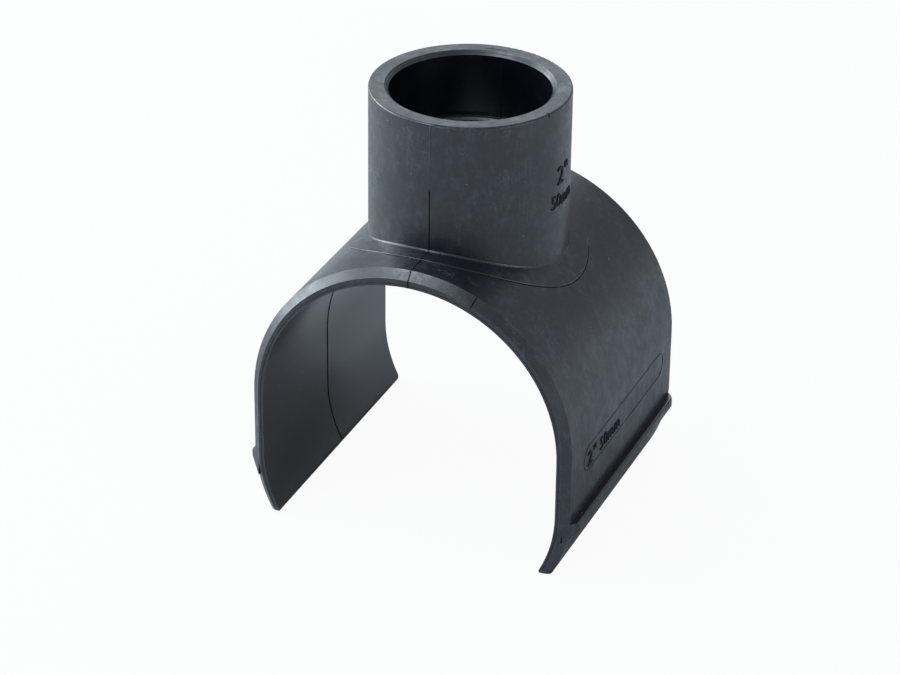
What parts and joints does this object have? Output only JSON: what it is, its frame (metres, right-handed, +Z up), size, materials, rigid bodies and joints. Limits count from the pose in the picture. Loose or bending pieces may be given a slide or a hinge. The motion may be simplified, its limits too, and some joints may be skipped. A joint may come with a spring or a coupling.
{
  "type": "tapping saddle",
  "caption": "Moulded plastic saddle that clips over a main pipe and carries a branch socket on a raised pad, with ribbed legs that hook under the pipe.",
  "frame": {"origin": "where the main pipe's axis meets the branch's axis, at the centre of the pipe seat", "axes": "+Z up the branch socket, +Y along the main pipe, X across it"},
  "size_m": [0.1248, 0.106, 0.155],
  "materials": {
    "moulded_body": "satin moulded charcoal plastic with fine scuffs"
  },
  "bodies": {
    "root": {"tapping_saddle": "moulded_body"}
  },
  "joints": []
}
